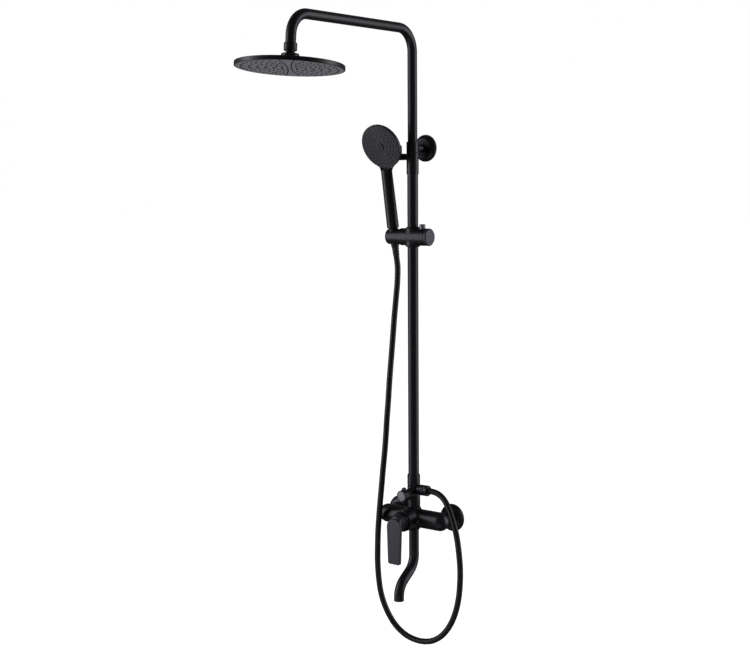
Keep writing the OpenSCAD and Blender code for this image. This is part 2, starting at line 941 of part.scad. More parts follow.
mixer_body();
unions();
inlet_nuts();
fibre_washers();
roses();
cartridge();
cartridge_nut();
cartridge_dome();
stem_carrier();
stem_pin();
cartridge_stem();
mixer_lever();
lever_screw();
tee_body();
diverter_valve();
diverter_gland();
diverter_spindle();
diverter_knob();
diverter_face();
hose_check_valve();
hose_nut();
shower_hose();
hose_sleeve();
spout();
spout_seals();
aerator();
riser_nut();
riser_pipe();
lock_sleeve();
lock_screw();
lock_lever();
bracket_ring();
bracket_arm();
bracket_plate();
bracket_rose();
telescope_bush();
telescope_seals();
overhead_pipe();
ball_nut();
ball_liner();
ball_seat();
ball_cap();
rain_shell();
rain_nozzles();
rain_face();
slider_body();
slider_liner();
slider_end_cap();
slider_button();
button_spring();
brake_shoe();
brake_spring();
hand_holder();
hand_cone_nut();
hose_washer();
hand_handle();
hand_nozzles();
hand_face();
hand_hub();
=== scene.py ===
"""Looks of a rainfall shower column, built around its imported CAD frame."""

import json
import math
from itertools import product

import bmesh
import bpy
import numpy as np
from mathutils import Matrix, Vector


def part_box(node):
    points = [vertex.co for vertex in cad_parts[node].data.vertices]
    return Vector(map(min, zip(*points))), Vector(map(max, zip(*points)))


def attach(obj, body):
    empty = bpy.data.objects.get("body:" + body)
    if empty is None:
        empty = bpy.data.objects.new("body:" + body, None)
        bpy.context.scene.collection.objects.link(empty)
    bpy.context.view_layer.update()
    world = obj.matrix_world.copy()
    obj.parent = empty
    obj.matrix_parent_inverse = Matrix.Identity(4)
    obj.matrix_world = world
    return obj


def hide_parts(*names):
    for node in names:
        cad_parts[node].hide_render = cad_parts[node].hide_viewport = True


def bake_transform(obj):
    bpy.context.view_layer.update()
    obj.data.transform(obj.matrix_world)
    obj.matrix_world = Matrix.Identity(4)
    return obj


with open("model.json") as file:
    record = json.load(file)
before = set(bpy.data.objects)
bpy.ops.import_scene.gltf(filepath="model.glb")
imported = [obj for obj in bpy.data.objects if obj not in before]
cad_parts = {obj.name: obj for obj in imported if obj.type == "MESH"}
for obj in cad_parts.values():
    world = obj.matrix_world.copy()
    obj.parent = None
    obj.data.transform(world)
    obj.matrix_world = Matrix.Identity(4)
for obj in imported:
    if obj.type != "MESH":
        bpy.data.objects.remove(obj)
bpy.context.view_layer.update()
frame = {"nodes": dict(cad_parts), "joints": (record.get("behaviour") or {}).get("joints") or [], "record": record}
MM = 0.001
JOINTS = {j["name"]: j for j in frame["joints"]}


# ---- places, in millimetres, read from the frame ----

def place_at(origin, up=(0, 0, 1), right=(1, 0, 0)):
    """Matrix from a local frame in millimetres, with Z along up, to the row frame in metres."""
    z = Vector(up).normalized()
    x = (Vector(right) - Vector(right).dot(z) * z).normalized()
    turn = Matrix((x, z.cross(x), z)).transposed().to_4x4()
    return Matrix.Translation(origin) @ turn @ Matrix.Scale(MM, 4)


def reach(node, place):
    """Lowest and highest corner of a CAD node in a local frame, in millimetres."""
    points = np.array([place.inverted() @ v.co for v in frame["nodes"][node].data.vertices])
    return points.min(0), points.max(0)


def centre_of(node):
    low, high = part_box(node)
    return (low + high) / 2


riser = centre_of("riser_pipe")
RISER = place_at((riser.x, riser.y, 0))
FORWARD = (0, -1, 0)
MIXER_FRONT = place_at((riser.x, riser.y, 0), FORWARD)
DIVERTER = place_at(JOINTS["diverter_turn"]["pos_m"], FORWARD)
OUTLET = place_at((riser.x, riser.y, centre_of("hose_nut").z), (1, 0, 0), (0, 0, 1))
BALL = JOINTS["head_spin"]["pos_m"]
DROP = place_at(BALL, [-a for a in JOINTS["head_spin"]["axis"]])
SLIDER = place_at((riser.x, riser.y, centre_of("slider_liner").z))
SLIDER_X = place_at((riser.x, riser.y, centre_of("slider_liner").z), (1, 0, 0), (0, 0, 1))
HAND = place_at(JOINTS["handset_turn"]["pos_m"], JOINTS["handset_turn"]["axis"])
LOCK = place_at((riser.x, riser.y, JOINTS["lock_lever_swing"]["pos_m"][2]))


# ---- sizes that several pieces share, in millimetres ----

MIXER_R, HOUSING_R, HOUSING_FRONT = 21.75, 25, 45
DOME_R, DOME_HOLE_R, PIVOT = 22, 12.5, 46
TEE_R, TEE_BOTTOM, TEE_TOP, SPIGOT_TOP = 15, 25.2, 75, 82
DIVERTER_Z, OUTLET_Z = 59, 68
RISER_R, ARM_R, COLLAR_R = 12.5, 11, 14
RISER_TOP, SLEEVE_TOP, SPIGOT_END, RING_TOP = 830, 850, 862, 875
BRACKET_Z = 861
BALL_S, BALL_R, LINER_R = 44.0, 10.5, 11.48
CAP_START, SEAT_START = 38, 46.7
FACE_S = 67.8
SLIDER_R, HOLDER_R, NECK_R = 20, 18, 8
HAND_R, HAND_BACK = 52.5, 22
CAST = 96  # sides of most turned pieces


# ---- camera ----

AZIMUTH = math.radians(37.756)
PITCH = math.radians(-5.982)
ROLL = math.radians(-0.381)
DISTANCE = 3.0805
SIDE_SHIFT = 0.08846
EYE_HEIGHT = 0.7776
FOCAL_LENGTH = 64.19

along = Vector((-math.sin(AZIMUTH), math.cos(AZIMUTH), 0))
across = Vector((math.cos(AZIMUTH), math.sin(AZIMUTH), 0))
camera = bpy.data.objects.new("camera", bpy.data.cameras.new("camera"))
bpy.context.scene.collection.objects.link(camera)
camera.data.lens = FOCAL_LENGTH
camera.location = Vector((riser.x, riser.y, EYE_HEIGHT)) - along * DISTANCE - across * SIDE_SHIFT
turned = Matrix.Rotation(AZIMUTH, 4, "Z") @ Matrix.Rotation(math.pi / 2 + PITCH, 4, "X")
camera.rotation_euler = (turned @ Matrix.Rotation(ROLL, 4, "Z")).to_euler()
bpy.context.scene.camera = camera


# ---- meshes ----

SHARP = math.radians(38)  # edges bent by more than this stay crisp


def piece(name, mesh, place, body, slot, nodes, look=None):
    """A named piece of a mesh in millimetres, put in place, with the nodes that it stands for.

    A piece with no body is left unattached, and its caller bakes its place into its mesh.
    """
    mesh.transform(place)
    mesh.name = name
    obj = bpy.data.objects.new(name, mesh)
    bpy.context.scene.collection.objects.link(obj)
    tidy = bmesh.new()
    tidy.from_mesh(mesh)
    bmesh.ops.recalc_face_normals(tidy, faces=tidy.faces)
    for face in tidy.faces:
        face.smooth = True
    for edge in tidy.edges:
        edge.smooth = len(edge.link_faces) < 2 or edge.calc_face_angle(0) < SHARP
    tidy.to_mesh(mesh)
    tidy.free()
    obj.modifiers.new("normals", "WEIGHTED_NORMAL").keep_sharp = True
    mesh.materials.append(look or MADE[slot])
    if body:
        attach(obj, body)
    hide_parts(*nodes)
    return obj


def mesh_of(points, faces):
    mesh = bpy.data.meshes.new("piece")
    mesh.from_pydata([tuple(p) for p in points], [], [tuple(int(i) for i in f) for f in faces])
    return mesh


def joined(*meshes):
    """One mesh of several."""
    both = bmesh.new()
    for mesh in meshes:
        both.from_mesh(mesh)
    made = bpy.data.meshes.new("piece")
    both.to_mesh(made)
    both.free()
    return made


def rounded(outline, closed, steps=5):
    """The outline's corners as arcs. Each corner is (radius, height, fillet)."""
    count = len(outline)
    made = []
    for i, (r, h, fillet) in enumerate(outline):
        here = Vector((r, h))
        if not fillet or (not closed and i in (0, count - 1)):
            made.append(here)
            continue
        a = Vector(outline[i - 1][:2]) - here
        b = Vector(outline[(i + 1) % count][:2]) - here
        half = a.angle(b) / 2
        cut = min(fillet / math.tan(half), a.length * 0.49, b.length * 0.49)
        radius = cut * math.tan(half)
        middle = here + (a.normalized() + b.normalized()).normalized() * radius / math.sin(half)
        start = here + a.normalized() * cut - middle
        turn = start.angle_signed(here + b.normalized() * cut - middle)
        for k in range(steps + 1):
            made.append(middle + Matrix.Rotation(-turn * k / steps, 2) @ start)
    return made


def lathe(outline, sides=96, closed=False, wobble=None):
    """Turns an outline about Z. wobble(angle, radius, height) gives another radius."""
    rows = rounded(outline, closed)
    points, index = [], []
    for r, h in rows:
        if r < 1e-6:
            index.append([len(points)] * sides)
            points.append((0, 0, h))
            continue
        index.append(list(range(len(points), len(points) + sides)))
        for k in range(sides):
            angle = 2 * math.pi * k / sides
            radius = wobble(angle, r, h) if wobble else r
            points.append((radius * math.cos(angle), radius * math.sin(angle), h))
    faces = []
    last = len(rows) if closed else len(rows) - 1
    for i, k in product(range(last), range(sides)):
        low, high, n = index[i], index[(i + 1) % len(rows)], (k + 1) % sides
        corners = [low[k], low[n], high[n], high[k]]
        face = list(dict.fromkeys(corners))
        if len(face) > 2:
            faces.append(face)
    return mesh_of(points, faces)


def tube_rings(path, radius_at, sides):
    """Rings of points round a path, each turned as little as possible from the one before."""
    path = np.asarray(path, float)
    heads = np.gradient(path, axis=0)
    heads /= np.linalg.norm(heads, axis=1)[:, None]
    side = np.array([1.0, 0, 0]) if abs(heads[0][0]) < 0.9 else np.array([0, 1.0, 0])
    angles = 2 * math.pi * np.arange(sides) / sides
    rings = []
    for i, (centre, head) in enumerate(zip(path, heads)):
        side = side - side.dot(head) * head
        side /= np.linalg.norm(side)
        other = np.cross(head, side)
        ring = np.cos(angles)[:, None] * side + np.sin(angles)[:, None] * other
        rings.append(centre + radius_at(i) * ring)
    return rings


def skin(rings, loop=False):
    """Quads between neighbouring rings."""
    sides = len(rings[0])
    faces = []
    count = len(rings)
    for i in range(count if loop else count - 1):
        low, high = i * sides, (i + 1) % count * sides
        for k in range(sides):
            n = (k + 1) % sides
            faces.append((low + k, low + n, high + n, high + k))
    return mesh_of(np.concatenate(rings), faces)


def pipe(path, radius, bore, sides=64):
    """A pipe with a real bore and eased ends, along a path in millimetres."""
    path = [Vector(p) for p in path]
    ease = 0.4
    first = (path[1] - path[0]).normalized()
    last = (path[-1] - path[-2]).normalized()
    out = [path[0], path[0] + first * ease, *path[1:-1], path[-1] - last * ease, path[-1]]
    radii = [radius - ease] + [radius] * (len(out) - 2) + [radius - ease]
    bores = [bore + ease] + [bore] * (len(out) - 2) + [bore + ease]
    outer = tube_rings(out, lambda i: radii[i], sides)
    inner = tube_rings(out, lambda i: bores[i], sides)
    return skin(outer + inner[::-1], loop=True)


def arc(start, head, towards, bend, angle, steps=24):
    """Points of a bend that starts at start along head and turns towards another direction."""
    start, head, towards = Vector(start), Vector(head), Vector(towards)
    centre = start + towards * bend
    turns = [angle * (k + 1) / steps for k in range(steps)]
    points = [centre - towards * bend * math.cos(t) + head * bend * math.sin(t) for t in turns]
    head_out = head * math.cos(angle) + towards * math.sin(angle)
    side_out = towards * math.cos(angle) - head * math.sin(angle)
    return points, head_out, side_out


# ---- solids from distance fields, for cast and moulded shapes with fillets ----

def bar(p, axis, r, low, high, edge=0.0):
    """Distance to a cylinder along an axis, from low to high, with rounded edges."""
    u, v = [i for i in range(3) if i != axis]
    out = np.hypot(p[:, u], p[:, v]) - r + edge
    end = np.abs(p[:, axis] - (low + high) / 2) - (high - low) / 2 + edge
    q = np.stack([out, end], 1)
    return np.minimum(q.max(1), 0) + np.linalg.norm(np.maximum(q, 0), axis=1) - edge


def cone(p, low_r, high_r, low, high, edge=0.0):
    """Distance to a slightly tapered bar along Z."""
    share = np.clip((p[:, 2] - low) / (high - low), 0, 1)
    out = np.hypot(p[:, 0], p[:, 1]) - (low_r + (high_r - low_r) * share) + edge
    end = np.abs(p[:, 2] - (low + high) / 2) - (high - low) / 2 + edge
    q = np.stack([out, end], 1)
    return np.minimum(q.max(1), 0) + np.linalg.norm(np.maximum(q, 0), axis=1) - edge


def ball(p, centre, r):
    return np.linalg.norm(p - np.array(centre), axis=1) - r


def plus(a, b, fillet):
    """Union of two fields with a fillet between them."""
    share = np.clip(0.5 + 0.5 * (b - a) / fillet, 0, 1)
    return b * (1 - share) + a * share - fillet * share * (1 - share)


def minus(a, b, edge=0.3):
    """What is left of a after b is cut away, with the cut's edge eased."""
    return -plus(-a, b, edge)


def solid(field, low, high, step, rounds=6):
    """A closed mesh of the surface where the field is zero, with its points drawn onto it."""
    axes = [np.arange(a - 2 * step, b + 2 * step, step) for a, b in zip(low, high)]
    grid = np.stack(np.meshgrid(*axes, indexing="ij"), -1)
    inside = field(grid.reshape(-1, 3)).reshape(grid.shape[:3]) < 0
    size = [n - 1 for n in inside.shape]
    corners = [inside[i:i + size[0], j:j + size[1], k:k + size[2]]
               for i, j, k in product((0, 1), repeat=3)]
    total = np.sum(corners, axis=0)
    mixed = (total > 0) & (total < 8)
    index = np.full(mixed.shape, -1)
    index[mixed] = np.arange(mixed.sum())
    points = grid[:-1, :-1, :-1][mixed] + step / 2
    faces = []
    for axis in range(3):
        u, v = (axis + 1) % 3, (axis + 2) % 3
        ahead = np.roll(inside, -1, axis)
        crossing = np.argwhere(inside != ahead)
        crossing = crossing[(crossing > 0).all(1) & (crossing < np.array(size)).all(1)]
        shift_u, shift_v = np.eye(3, dtype=int)[u], np.eye(3, dtype=int)[v]
        cells = [crossing, crossing - shift_u, crossing - shift_u - shift_v, crossing - shift_v]
        quads = np.stack([index[tuple(c.T)] for c in cells], 1)
        flip = ~inside[tuple(crossing.T)]
        quads[flip] = quads[flip][:, ::-1]
        faces.append(quads)
    faces = np.concatenate(faces)
    edges = np.unique(np.sort(np.concatenate([faces[:, [0, 1]], faces[:, [1, 2]],
                                              faces[:, [2, 3]], faces[:, [3, 0]]]), axis=1), axis=0)
    for turn in range(rounds):
        if turn < rounds - 2:
            total = np.zeros_like(points)
            count = np.zeros(len(points))
            for a, b in (edges.T, edges.T[::-1]):
                np.add.at(total, a, points[b])
                np.add.at(count, a, 1)
            points = points * 0.4 + total / count[:, None] * 0.6
        points = drawn_onto(field, points, step * 0.02, step)
    return mesh_of(points, faces)


def drawn_onto(field, points, probe, most):
    """Points moved along the field's slope onto its zero surface."""
    value = field(points)
    slope = np.stack([field(points + probe * d) - field(points - probe * d) for d in np.eye(3)], 1)
    slope /= 2 * probe
    move = value[:, None] * slope / np.maximum((slope ** 2).sum(1), 0.1)[:, None]
    length = np.linalg.norm(move, axis=1)[:, None]
    return points - move * np.minimum(1, most / np.maximum(length, 1e-9))


# ---- materials ----

def material(name, colour, rough, metal=0.0, grain=1500, bump=0.1, spread=0.05, stretch=(1, 1, 1),
             shine=0.5):
    """A procedural finish: fine grain in the bump, and a slow drift of tone and roughness."""
    made = bpy.data.materials.new(name)
    made.use_nodes = True
    tree = made.node_tree
    shader = tree.nodes["Principled BSDF"]
    shader.inputs["Metallic"].default_value = metal
    shader.inputs["Specular IOR Level"].default_value = shine
    place = tree.nodes.new("ShaderNodeTexCoord")
    scale = tree.nodes.new("ShaderNodeMapping")
    scale.inputs["Scale"].default_value = stretch
    tree.links.new(place.outputs["Object"], scale.inputs["Vector"])

    def noise(size, detail):
        node = tree.nodes.new("ShaderNodeTexNoise")
        node.inputs["Scale"].default_value = size
        node.inputs["Detail"].default_value = detail
        tree.links.new(scale.outputs["Vector"], node.inputs["Vector"])
        return node.outputs["Fac"]

    fine, slow = noise(grain, 2), noise(30, 4)
    tone = tree.nodes.new("ShaderNodeValToRGB")
    tone.color_ramp.elements[0].position = 0.3
    tone.color_ramp.elements[1].position = 0.7
    tone.color_ramp.elements[0].color = [c * 0.88 for c in colour] + [1]
    tone.color_ramp.elements[1].color = [min(1, c * 1.12) for c in colour] + [1]
    tree.links.new(slow, tone.inputs["Fac"])
    tree.links.new(tone.outputs["Color"], shader.inputs["Base Color"])
    gloss = tree.nodes.new("ShaderNodeMapRange")
    gloss.inputs["To Min"].default_value = rough - spread
    gloss.inputs["To Max"].default_value = rough + spread
    tree.links.new(fine, gloss.inputs["Value"])
    tree.links.new(gloss.outputs["Result"], shader.inputs["Roughness"])
    relief = tree.nodes.new("ShaderNodeBump")
    relief.inputs["Strength"].default_value = bump
    relief.inputs["Distance"].default_value = 0.0002
    tree.links.new(fine, relief.inputs["Height"])
    tree.links.new(relief.outputs["Normal"], shader.inputs["Normal"])
    return made


LOOKS = {
    "matte_black": dict(colour=(0.0034, 0.0026, 0.0044), rough=0.40, shine=0.34),
    "lever_black": dict(colour=(0.0200, 0.0180, 0.0240), rough=0.42, shine=0.4),
    "hand_black": dict(colour=(0.0036, 0.0028, 0.0044), rough=0.38, grain=1100, bump=0.15, shine=0.34),
    "satin_grey": dict(colour=(0.16, 0.16, 0.17), rough=0.42, metal=0.4, grain=900),
    "face_grey": dict(colour=(0.36, 0.354, 0.378), rough=0.50, grain=900, bump=0.2),
    "hand_face": dict(colour=(0.013, 0.011, 0.017), rough=0.46, grain=1100, bump=0.2, shine=0.4),
    "end_cap": dict(colour=(0.034, 0.030, 0.043), rough=0.42, metal=0.3, grain=900, bump=0.15),
    "nozzle_rubber": dict(colour=(0.016, 0.016, 0.017), rough=0.62, grain=1800, bump=0.3),
    "hose_black": dict(colour=(0.0036, 0.0030, 0.0042), rough=0.40, grain=2200, bump=0.15, shine=0.3),
    "sleeve_rubber": dict(colour=(0.007, 0.006, 0.008), rough=0.60, grain=1800, bump=0.3),
    "brass": dict(colour=(0.62, 0.45, 0.20), rough=0.34, metal=1.0, bump=0.2),
    "steel": dict(colour=(0.56, 0.56, 0.55), rough=0.33, metal=1.0, stretch=(1, 1, 12)),
    "white_plastic": dict(colour=(0.74, 0.73, 0.69), rough=0.46, grain=1000),
    "fibre": dict(colour=(0.24, 0.07, 0.05), rough=0.85, grain=2500, bump=0.7, spread=0.1),
    "aerator_plastic": dict(colour=(0.18, 0.18, 0.19), rough=0.5, grain=1200),
}
MADE = {slot: material(slot, **look) for slot, look in LOOKS.items()}

for row in frame["record"]["subparts"]:
    mesh = frame["nodes"][row["node"]].data
    mesh.materials.clear()
    mesh.materials.append(MADE[row["material_slot"]])


# The two arcs on the rain face where its grooves get painted shade
GROOVE_R, GROOVE_HALF = 0.530, 0.0013  # metres
GROOVE_OFF = 534
AT_DROP = DROP @ Matrix.Translation((0, 0, -BALL_S))
FACE_PLACE = AT_DROP @ Matrix.Rotation(math.radians(-38), 4, "Z")


def painted_groove_shade(source):
    """The rain face's finish, with painted shade making it darker along its two shallow groove arcs."""
    made = source.copy()
    made.name = "rain_face_grey_painted_groove_shade"
    tree = made.node_tree
    shader = tree.nodes["Principled BSDF"]
    tone = shader.inputs["Base Color"].links[0].from_socket
    place = tree.nodes.new("ShaderNodeTexCoord")
    off = []
    for side in (-1, 1):
        far = tree.nodes.new("ShaderNodeVectorMath")
        far.operation = "DISTANCE"
        far.inputs[1].default_value = FACE_PLACE @ Vector((side * GROOVE_OFF, 0, FACE_S))
        tree.links.new(place.outputs["Object"], far.inputs[0])
        near = tree.nodes.new("ShaderNodeMath")
        near.operation = "COMPARE"
        near.inputs[1].default_value = GROOVE_R
        near.inputs[2].default_value = GROOVE_HALF
        tree.links.new(far.outputs["Value"], near.inputs[0])
        off.append(near.outputs["Value"])
    either = tree.nodes.new("ShaderNodeMath")
    either.operation = "MAXIMUM"
    tree.links.new(off[0], either.inputs[0])
    tree.links.new(off[1], either.inputs[1])
    mix = tree.nodes.new("ShaderNodeMix")
    mix.data_type = "RGBA"
    # near-black colour of the painted shade in the grooves
    mix.inputs["B"].default_value = (0.012, 0.011, 0.013, 1)
    tree.links.new(either.outputs["Value"], mix.inputs["Factor"])
    tree.links.new(tone, mix.inputs["A"])
    tree.links.new(mix.outputs["Result"], shader.inputs["Base Color"])
    return made


# the rain face's material, with painted shade along its grooves
frame["nodes"]["rain_face"].data.materials[0] = painted_groove_shade(MADE["face_grey"])


# ---- the hose: one free length from the tee's outlet to the hand shower's cone nut ----

HOSE_D = 0.014
HOSE_ROUTE = [
    [43, 0, 68], [56, 0, 68], [72, -2, 65], [88, -5, 57], [102, -8, 42], [114, -10, 20],
    [123, -10, -5], [129, -9, -32], [133, -8, -62], [135, -6, -98], [134, -5, -135],
    [130, -5, -172], [121, -5, -207], [107, -5, -238], [88, -6, -264], [65, -7, -282],
    [39, -9, -291], [11, -12, -291], [-16, -15, -283], [-40, -18, -266], [-59, -20, -243],
    [-73, -22, -216], [-81, -25, -186], [-85, -27, -151], [-86, -29, -114], [-84, -31, -76],
    [-81, -33, -38], [-77, -34, 0], [-73, -34, 38], [-70, -32, 76], [-68, -29, 114],
    [-66, -25, 154], [-65, -21, 194], [-64, -18, 234], [-63, -14, 274], [-62, -11, 314],
    [-61, -7, 354], [-59, -4, 394], [-58, 0, 434], [-57, 4, 474], [-56, 9, 514],
    [-55, 13, 550], [-54, 13.2, 586], [-54, 8.4, 612.5],
]


def smooth_path(points, step):
    """An even run of points on a curve through all the given ones."""
    points = np.array(points, float)
    padded = np.vstack([2 * points[0] - points[1], points, 2 * points[-1] - points[-2]])
    dense = []
    for a, b, c, d in zip(padded, padded[1:], padded[2:], padded[3:]):
        for t in np.linspace(0, 1, 24, endpoint=False):
            dense.append(0.5 * (2 * b + (c - a) * t + (2 * a - 5 * b + 4 * c - d) * t ** 2
                                + (3 * b - a - 3 * c + d) * t ** 3))
    dense = np.array(dense + [points[-1]])
    run = np.concatenate([[0], np.cumsum(np.linalg.norm(np.diff(dense, axis=0), axis=1))])
    even = np.linspace(0, run[-1], max(2, round(run[-1] / step)))
    line = np.stack([np.interp(even, run, dense[:, i]) for i in range(3)], 1)
    for _ in range(8):
        line[1:-1] = line[1:-1] * 0.5 + (line[:-2] + line[2:]) * 0.25
    return line


RIB_PITCH, GROOVE_SHARE, GROOVE_DEPTH = 2.4, 0.22, 0.3
HOSE_R = HOSE_D / 2 / MM - 0.02
route = smooth_path(HOSE_ROUTE, 0.6)
ribs = np.cumsum(np.linalg.norm(np.diff(route, axis=0, prepend=route[:1]), axis=1)) / RIB_PITCH
grooves = np.clip(1 - np.abs(ribs % 1 - 0.5) / GROOVE_SHARE, 0, 1)
hose_rings = tube_rings(route, lambda i: HOSE_R - GROOVE_DEPTH * grooves[i], 24)
hose_line = [tuple(RISER @ Vector(p)) for p in route[::8]] + [tuple(RISER @ Vector(route[-1]))]
hose = piece("shower_hose_visual", skin(hose_rings), RISER, None, "hose_black", ["shower_hose"])
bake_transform(hose)


# ---- hose ends ----

def ribbed(low_r, high_r, low, high, count, bore):
    """Outline of a strain relief with round ribs."""
    outline = [(bore, low, 0.3), (low_r - 0.5, low, 0.4)]
    pitch = (high - low) / count
    for k in range(count):
        r = low_r + (high_r - low_r) * (k + 0.5) / count
        z = low + pitch * (k + 0.5)
        outline += [(r - 0.7, z - pitch * 0.42, 0.3), (r, z - pitch * 0.25, 0.5),
                    (r, z + pitch * 0.2, 0.5), (r - 0.7, z + pitch * 0.38, 0.3)]
    return outline + [(high_r - 0.5, high, 0.4), (bore, high, 0.3)]


low, high = reach("hose_sleeve", HAND)
sleeve = lathe(ribbed(7.6, 8.4, low[2], high[2], 6, 5), 64, closed=True)
sleeve = piece("hose_sleeve_visual", sleeve, HAND, None, "sleeve_rubber", ["hose_sleeve"])
sleeve_low, sleeve_high = HAND @ Vector((0, 0, low[2])), HAND @ Vector((0, 0, high[2]))
tuple(sleeve_low)
tuple(sleeve_high)
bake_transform(sleeve)

low, high = reach("hose_nut", OUTLET)
NUT_BORE, NUT_R, NUT_GRIPS = 10.6, 12.5, 40
nut_low, nut_high = low[2], high[2]


def grooved(angle, r, h):
    """Fine upright grip grooves between the nut's two plain ends."""
    inside = nut_low + 5 < h < nut_high - 4.5
    return r - 0.35 * (0.5 + 0.5 * math.cos(NUT_GRIPS * angle)) if inside and r > 12 else r


nut = [(NUT_BORE, nut_low, 0.2), (NUT_R, nut_low, 0.8)]
nut += [(NUT_R, nut_low + h, 0) for h in np.linspace(4.9, nut_high - nut_low - 4.4, 8)]
nut += [(NUT_R, nut_high - 1.6, 0.6), (11.2, nut_high, 0.6), (7.3, nut_high, 0.3),
        (7.3, nut_high - 6, 0), (4.6, nut_high - 9.5, 0), (NUT_BORE, nut_high - 9.6, 0)]
hose_nut = piece("hose_nut_visual", lathe(nut, 160, True, grooved), OUTLET, "column",
                 "matte_black", ["hose_nut"])
hose_length = sum((Vector(b) - Vector(a)).length for a, b in zip(hose_line, hose_line[1:]))


# ---- mixer ----

low, high = reach("roses", RISER)
ROSE_R = (high[2] - low[2]) / 2
INLET = high[0] - ROSE_R


def mixer_field(p):
    """The cast body: a bar with round ends, two stubs, bosses above and below, and a housing."""
    out = np.abs(p[:, 0]) - INLET
    body = np.linalg.norm(np.stack([np.maximum(out, 0), p[:, 1], p[:, 2]], 1), axis=1)
    body -= MIXER_R
    for side in (-1, 1):
        q = p - np.array([side * INLET, 0, 0])
        body = plus(body, bar(q, 1, 10.8, 0, 26.5), 2)
    body = plus(body, bar(p, 2, 16, 0, TEE_BOTTOM - 0.1, 0.5), 7)
    body = plus(body, bar(p, 2, 14.5, -27, 0, 0.5), 7)
    body = plus(body, bar(p, 1, HOUSING_R, -HOUSING_FRONT, 0, 0.7), 8)
    body = minus(body, bar(p, 1, 17.6, -50, -6))
    body = minus(body, bar(p, 1, 20.1, -50, -36))
    body = minus(body, bar(p, 2, 12.1, 19, 30))
    body = minus(body, bar(p, 2, 10.1, -30, -19))
    body = minus(body, bar(p, 2, 5.4, -21, 20))
    return body


mixer = solid(mixer_field, (-98, -45, -28), (98, 27, 26), 0.9)
piece("mixer_body_visual", mixer, RISER, "column", "matte_black", ["mixer_body"])


def nut_outline(bore, r, start, end, edge):
    return [(bore, start, 0.2), (r, start, edge), (r, end, edge), (bore, end, 0.2)]


low, high = reach("inlet_nuts", RISER)
nuts = []
for side in (-1, 1):
    ring = lathe(nut_outline(13.4, 18.5, low[1], high[1], 1.0), CAST, closed=True)
    ring.transform(Matrix.Translation((side * INLET, 0, 0)) @ Matrix.Rotation(-math.pi / 2, 4, "X"))
    nuts.append(ring)
piece("inlet_nuts_visual", joined(*nuts), RISER, "column", "matte_black", ["inlet_nuts"])


def rose_outline(r, depth, hole):
    """A pressed wall rose: a dished front on a rim that meets the wall."""
    wall = 1.8
    front = [(hole, depth - wall, 0.3), (hole, depth, 0.6), (r - 9, depth, 9),
             (r - 2.2, depth * 0.55, 4), (r, 2.2, 1.5), (r, 0, 0.2)]
    back = [(r - wall, 0, 0.2), (r - wall, 2.0, 1), (r - 4.6, depth * 0.5, 3),
            (r - 9.5, depth - wall, 7)]
    return front + back


def rose_piece(name, node, centres, r, depth, hole):
    made = []
    for centre in centres:
        one = lathe(rose_outline(r, depth, hole), 128, closed=True)
        one.transform(place_at(centre, FORWARD))
        made.append(one)
    piece(name, joined(*made), Matrix.Identity(4), "column", "matte_black", [node])


inlets = [(riser.x + side * INLET * MM, 0, 0) for side in (-1, 1)]
rose_piece("roses_visual", "roses", inlets, ROSE_R, 14, 13.5)

swell = [(DOME_R * math.cos(a), PIVOT + DOME_R * math.sin(a), 0)
         for a in np.linspace(0.06, math.acos(DOME_HOLE_R / DOME_R), 20)]
dome = [(DOME_HOLE_R, 52, 0), (DOME_HOLE_R, swell[-1][1] - 0.4, 0)] + swell[::-1]
dome += [(22.3, 49, 0.6), (HOUSING_R, 49, 0.7), (HOUSING_R, 45.1, 0.4), (20.4, 45.1, 0), (20.4, 47, 0)]
piece("cartridge_dome_visual", lathe(dome, 128, True), MIXER_FRONT, "column", "matte_black",
      ["cartridge_dome"])

low, high = reach("mixer_lever", RISER)
LEVER_LOW = low[2]


def lever_field(p):
    """A plate with a round top, straight tapering sides and a rounded foot, on a cone hub."""
    corner, foot_x, top_r, top_z, back, thick = 5, 12, 20, -9, 73, 7
    foot_z = LEVER_LOW + corner
    run = math.hypot(foot_x, top_z - foot_z)
    slope = math.atan2(foot_x, top_z - foot_z) - math.asin((top_r - corner) / run)
    u, v = np.abs(p[:, 0]), p[:, 2]
    side = u * math.cos(slope) + (v - top_z) * math.sin(slope) - top_r
    round_top = np.hypot(u, v - top_z) - top_r
    face = np.where(v > top_z + top_r * math.sin(slope), round_top, side)
    foot = np.hypot(np.maximum(u - foot_x, 0), np.maximum(foot_z - v, 0)) - corner
    face = np.where(v < foot_z + corner * math.sin(slope), np.maximum(foot, side), face)
    edge = 1.0
    q = np.stack([face + edge, np.abs(p[:, 1] + back + thick / 2) - thick / 2 + edge], 1)
    plate = np.minimum(q.max(1), 0) + np.linalg.norm(np.maximum(q, 0), axis=1) - edge
    turned = np.stack([p[:, 0], p[:, 2], -p[:, 1]], 1)
    hub = cone(turned, 20, 15, 60, back + 0.5, 0.8)
    body = plus(plate, hub, 4.0)
    body = np.maximum(body, -(p[:, 1] + back + thick))
    body = minus(body, ball(p, (0, -PIVOT, 0), DOME_R + 0.4), 0.4)
    body = minus(body, bar(p, 1, 3.6, -72.1, -50))
    return minus(body, bar(p - np.array([0, -68, 0]), 2, 2.1, -24, 0))


lever = solid(lever_field, (-20, -80, LEVER_LOW), (20, -59, 20), 0.65)
piece("mixer_lever_visual", lever, RISER, "lever", "lever_black", ["mixer_lever"])


# ---- spout ----

